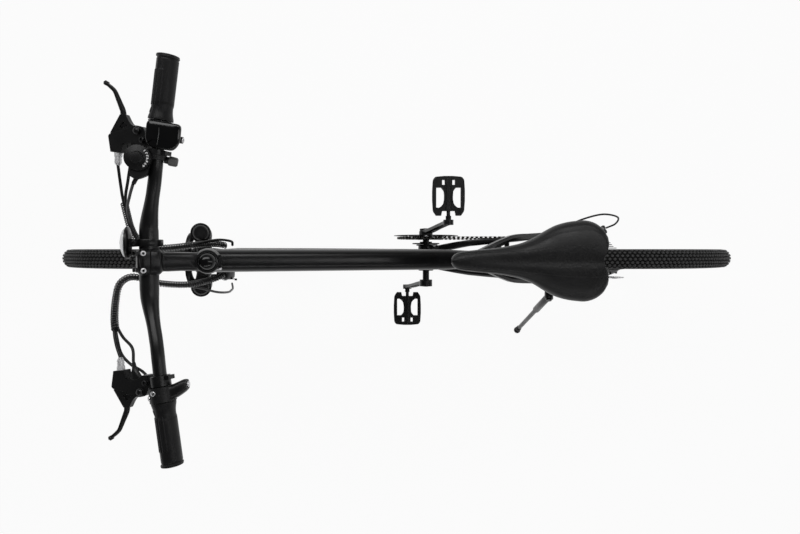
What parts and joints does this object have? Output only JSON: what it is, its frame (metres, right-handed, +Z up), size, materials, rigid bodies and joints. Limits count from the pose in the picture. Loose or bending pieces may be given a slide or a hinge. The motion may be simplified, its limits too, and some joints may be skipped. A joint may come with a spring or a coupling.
{
  "type": "electric bicycle",
  "caption": "Electric bicycle with suspension fork, disc brakes, rear hub motor, down-tube battery, chain drive with derailleur, twist throttle and kickstand.",
  "frame": {"origin": "middle of the bounding box on the floor", "axes": "+X to the front of the bicycle, +Y to its left side, +Z up; the bicycle leans 1.5 degrees to its left on its kickstand"},
  "size_m": [1.804, 0.6823, 1.087],
  "materials": {
    "anodised_black": "black anodised aluminium",
    "dark_steel": "blackened steel",
    "drive_side_housing": "gloss black plastic",
    "gloss_black": "gloss black paint",
    "grip_rubber": "black moulded rubber",
    "lamp_lens": "clear moulded lens",
    "moulded_black": "moulded black plastic",
    "saddle_vinyl": "black textured vinyl",
    "satin_black": "satin black paint",
    "steel": "plain steel",
    "tyre_rubber": "black tyre rubber"
  },
  "bodies": {
    "bike_frame": {"frame": "gloss_black", "battery_pack": "satin_black", "seat_clamp": "anodised_black", "bottom_bracket": "dark_steel", "kickstand_bracket": "satin_black", "rear_caliper": "anodised_black", "derailleur_body": "anodised_black", "shift_cable_rear": "moulded_black", "rear_axle": "steel", "chain": "dark_steel"},
    "seat": {"seatpost": "anodised_black", "saddle_rails": "dark_steel", "saddle": "saddle_vinyl"},
    "seat_lever": {"seat_clamp_lever": "anodised_black"},
    "kickstand": {"kickstand_leg": "satin_black"},
    "cranks": {"crank_right": "anodised_black", "crank_left": "anodised_black", "chainring": "satin_black", "pas_magnet_disc": "moulded_black"},
    "pedal_left": {"pedal_left": "moulded_black"},
    "pedal_right": {"pedal_right": "moulded_black"},
    "rear_wheel": {"hub_motor": "satin_black", "rear_rim": "satin_black", "rear_tyre": "tyre_rubber", "rear_rotor": "steel"},
    "freewheel": {"freewheel": "dark_steel"},
    "rear_caliper_arm": {"rear_caliper_arm": "dark_steel"},
    "derailleur_link": {"derailleur_link": "dark_steel"},
    "derailleur_knuckle": {"derailleur_knuckle": "anodised_black"},
    "derailleur_cage": {"derailleur_cage": "dark_steel"},
    "guide_pulley": {"guide_pulley": "moulded_black"},
    "tension_pulley": {"tension_pulley": "moulded_black"},
    "steering": {"fork_crown_unit": "satin_black", "stem": "anodised_black", "stem_faceplate": "anodised_black", "top_cap": "gloss_black", "handlebar": "satin_black", "grip_left": "grip_rubber", "throttle_housing": "drive_side_housing", "brake_bracket_left": "satin_black", "brake_bracket_right": "satin_black", "shifter_body": "moulded_black", "switch_pod": "moulded_black", "headlight_body": "gloss_black", "headlight_lens": "lamp_lens", "cable_bundle_left": "moulded_black", "cable_bundle_right": "moulded_black"},
    "throttle_grip": {"throttle_grip": "grip_rubber"},
    "brake_lever_left": {"brake_lever_left": "satin_black"},
    "brake_lever_right": {"brake_lever_right": "satin_black"},
    "shift_dial": {"shift_dial": "moulded_black"},
    "horn_button": {"horn_button": "steel"},
    "fork_lowers": {"fork_lowers": "satin_black", "front_caliper": "anodised_black", "front_axle": "steel"},
    "front_wheel": {"front_hub": "satin_black", "front_rim": "satin_black", "front_tyre": "tyre_rubber", "front_rotor": "steel"},
    "front_caliper_arm": {"front_caliper_arm": "dark_steel"}
  },
  "joints": [
    {"name": "seatpost_height", "type": "slide", "parent": "bike_frame", "child": "seat", "axis": [-0.2756, 0.0252, 0.9609], "range_m": [-0.04, 0.05]},
    {"name": "seat_clamp_lever_turn", "type": "hinge", "parent": "bike_frame", "child": "seat_lever", "pos_m": [-0.23354, 0.01299, 0.72526], "axis": [-0.2756, 0.0252, 0.9609], "range_deg": [0, 95]},
    {"name": "kickstand_fold", "type": "hinge", "parent": "bike_frame", "child": "kickstand", "pos_m": [-0.44, 0.09281, 0.29719], "axis": [0.0981, 0.9065, 0.4106], "range_deg": [0, 100.7]},
    {"name": "crank_spin", "type": "hinge", "parent": "bike_frame", "child": "cranks", "pos_m": [-0.081, -0.01991, 0.29014], "axis": [0, 0.9997, -0.0262], "continuous": true, "deforming": ["chain"]},
    {"name": "pedal_left_spin", "type": "hinge", "parent": "cranks", "child": "pedal_left", "pos_m": [-0.02565, -0.02412, 0.12945], "axis": [0, 0.9997, -0.0262], "continuous": true},
    {"name": "pedal_right_spin", "type": "hinge", "parent": "cranks", "child": "pedal_right", "pos_m": [-0.13635, -0.0157, 0.45082], "axis": [0, 0.9997, -0.0262], "continuous": true},
    {"name": "rear_wheel_spin", "type": "hinge", "parent": "bike_frame", "child": "rear_wheel", "pos_m": [-0.559, -0.01852, 0.34312], "axis": [0, 0.9997, -0.0262], "continuous": true},
    {"name": "freewheel_spin", "type": "hinge", "parent": "bike_frame", "child": "freewheel", "pos_m": [-0.559, -0.01852, 0.34312], "axis": [0, 0.9997, -0.0262], "continuous": true},
    {"name": "rear_caliper_arm_pull", "type": "hinge", "parent": "bike_frame", "child": "rear_caliper_arm", "pos_m": [-0.49193, 0.05277, 0.37254], "axis": [0, 0.9997, -0.0262], "range_deg": [0, 14]},
    {"name": "derailleur_link_swing", "type": "hinge", "parent": "bike_frame", "child": "derailleur_link", "pos_m": [-0.60657, -0.10204, 0.27885], "axis": [0, 0.6626, 0.749], "range_deg": [0, 34], "deforming": ["shift_cable_rear"]},
    {"name": "derailleur_knuckle_level", "type": "hinge", "parent": "derailleur_link", "child": "derailleur_knuckle", "pos_m": [-0.563, -0.10663, 0.2829], "axis": [0, 0.6626, 0.749], "range_deg": [-34, 0]},
    {"name": "derailleur_cage_tension", "type": "hinge", "parent": "derailleur_knuckle", "child": "derailleur_cage", "pos_m": [-0.563, -0.0768, 0.27612], "axis": [0, 0.9997, -0.0262], "range_deg": [-12, 25], "stiffness_Nm_per_rad": 1},
    {"name": "guide_pulley_spin", "type": "hinge", "parent": "derailleur_cage", "child": "guide_pulley", "pos_m": [-0.563, -0.0768, 0.27612], "axis": [0, 0.9997, -0.0262], "continuous": true},
    {"name": "tension_pulley_spin", "type": "hinge", "parent": "derailleur_cage", "child": "tension_pulley", "pos_m": [-0.53229, -0.07802, 0.22931], "axis": [0, 0.9997, -0.0262], "continuous": true},
    {"name": "steering_turn", "type": "hinge", "parent": "bike_frame", "child": "steering", "pos_m": [0.34326, -0.00322, 0.92739], "axis": [-0.3007, 0.025, 0.9534], "range_deg": [-50, 50], "deforming": ["cable_bundle_left", "cable_bundle_right"]},
    {"name": "fork_travel", "type": "slide", "parent": "steering", "child": "fork_lowers", "axis": [-0.3007, 0.025, 0.9534], "range_m": [0, 0.063], "stiffness_N_per_m": 9000, "springref_m": -0.015},
    {"name": "front_wheel_spin", "type": "hinge", "parent": "fork_lowers", "child": "front_wheel", "pos_m": [0.559, -0.01852, 0.34312], "axis": [0, 0.9997, -0.0262], "continuous": true},
    {"name": "front_caliper_arm_pull", "type": "hinge", "parent": "fork_lowers", "child": "front_caliper_arm", "pos_m": [0.4869, 0.04039, 0.35823], "axis": [0, -0.9997, 0.0262], "range_deg": [0, 14]},
    {"name": "throttle_twist", "type": "hinge", "parent": "steering", "child": "throttle_grip", "pos_m": [0.36994, -0.28629, 1.06238], "axis": [-0.1561, -0.9832, 0.0947], "range_deg": [0, 70], "stiffness_Nm_per_rad": 0.35},
    {"name": "brake_lever_left_squeeze", "type": "hinge", "parent": "steering", "child": "brake_lever_left", "pos_m": [0.41778, 0.21864, 1.03236], "axis": [0.309, 0.0073, 0.951], "range_deg": [0, 22], "stiffness_Nm_per_rad": 1.2, "springref_deg": -11.46},
    {"name": "brake_lever_right_squeeze", "type": "hinge", "parent": "steering", "child": "brake_lever_right", "pos_m": [0.41778, -0.21928, 1.04383], "axis": [-0.309, -0.0425, -0.9501], "range_deg": [0, 22], "stiffness_Nm_per_rad": 1.2, "springref_deg": -11.46},
    {"name": "shift_dial_turn", "type": "hinge", "parent": "steering", "child": "shift_dial", "pos_m": [0.40883, -0.16993, 1.07392], "axis": [-0.1732, 0.0959, 0.9802], "range_deg": [0, 170]},
    {"name": "horn_button_push", "type": "slide", "parent": "steering", "child": "horn_button", "axis": [0.9877, 0.1559, 0.0068], "range_m": [0, 0.0015], "stiffness_N_per_m": 300}
  ],
  "couplings": [
    {"joint": "freewheel_spin", "follows": "crank_spin", "ratio": 2.8571},
    {"joint": "guide_pulley_spin", "follows": "crank_spin", "ratio": -3.6364},
    {"joint": "tension_pulley_spin", "follows": "crank_spin", "ratio": 3.6364},
    {"joint": "derailleur_link_swing", "follows": "shift_dial_turn", "ratio": 0.2},
    {"joint": "derailleur_knuckle_level", "follows": "shift_dial_turn", "ratio": -0.2},
    {"joint": "rear_caliper_arm_pull", "follows": "brake_lever_right_squeeze", "ratio": 0.6},
    {"joint": "front_caliper_arm_pull", "follows": "brake_lever_left_squeeze", "ratio": 0.6}
  ]
}
